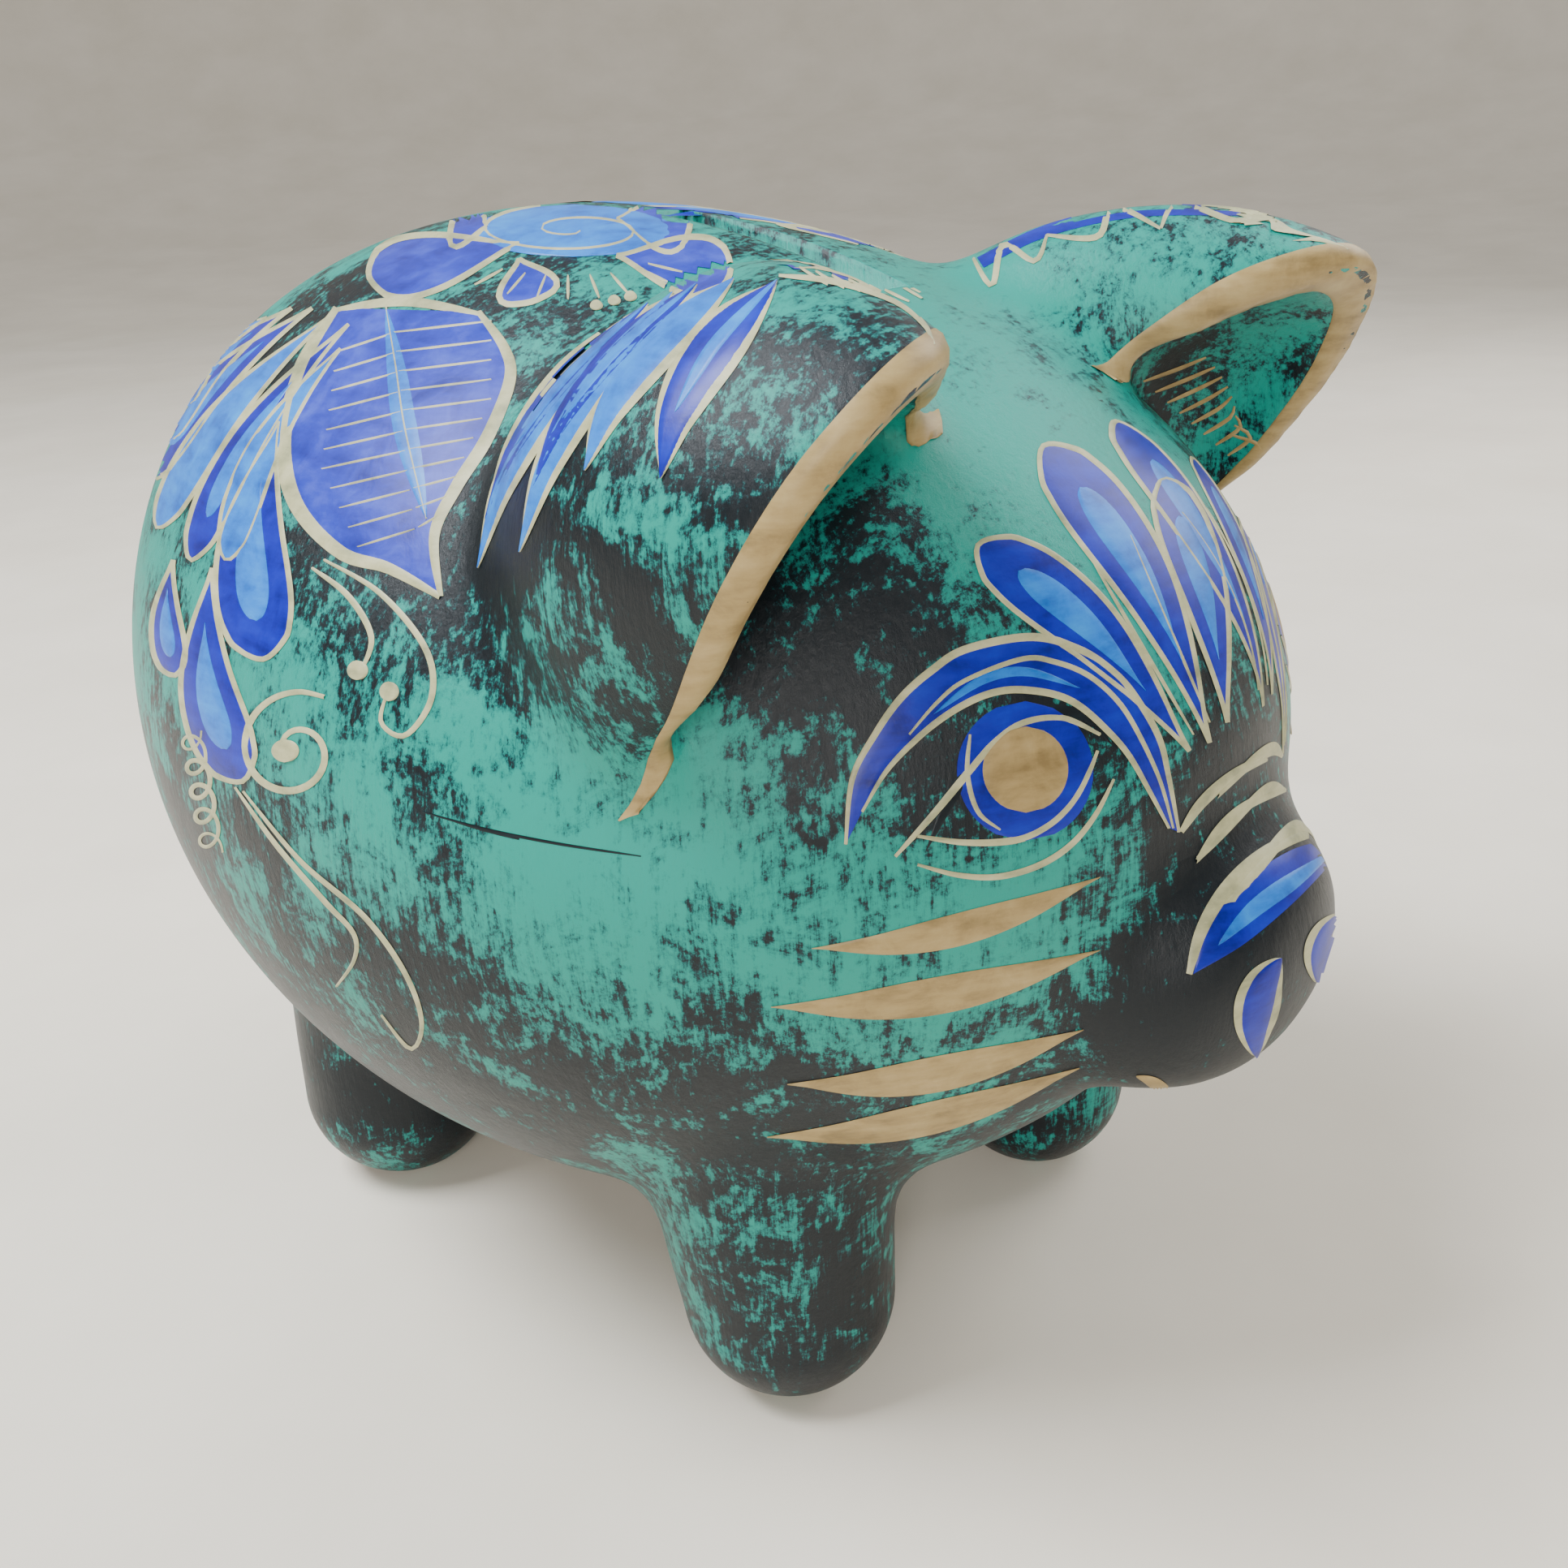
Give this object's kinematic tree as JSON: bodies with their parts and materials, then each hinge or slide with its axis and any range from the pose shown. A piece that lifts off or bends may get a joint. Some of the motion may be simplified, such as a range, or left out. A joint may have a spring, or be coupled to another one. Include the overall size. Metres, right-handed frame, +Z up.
{
  "type": "piggy bank",
  "caption": "Hand-painted clay piggy bank on stub legs, with cupped ears, a slot in the back for coins and a rubber stopper in the belly.",
  "frame": {"origin": "centre of the box's foot, on the floor the pig stands on", "axes": "+Z up, -Y the way the snout points, -X the pig's right side"},
  "size_m": [0.1188, 0.1694, 0.1232],
  "materials": {
    "painted_clay": "satin varnish over dry-brushed turquoise on black, with cobalt, sky, cream and ochre brushwork",
    "rubber_plug": "matt"
  },
  "bodies": {
    "bank": {"back_shell": "painted_clay", "belly_shell": "painted_clay", "snout": "painted_clay", "right_ear": "painted_clay", "left_ear": "painted_clay", "front_right_leg": "painted_clay", "front_left_leg": "painted_clay", "rear_right_leg": "painted_clay", "rear_left_leg": "painted_clay", "tail": "painted_clay"},
    "stopper": {"belly_stopper": "rubber_plug"}
  },
  "joints": [
    {"name": "stopper_pull", "type": "slide", "parent": "bank", "child": "stopper", "axis": [0, 0, -1], "range_m": [0, 0.016]}
  ]
}
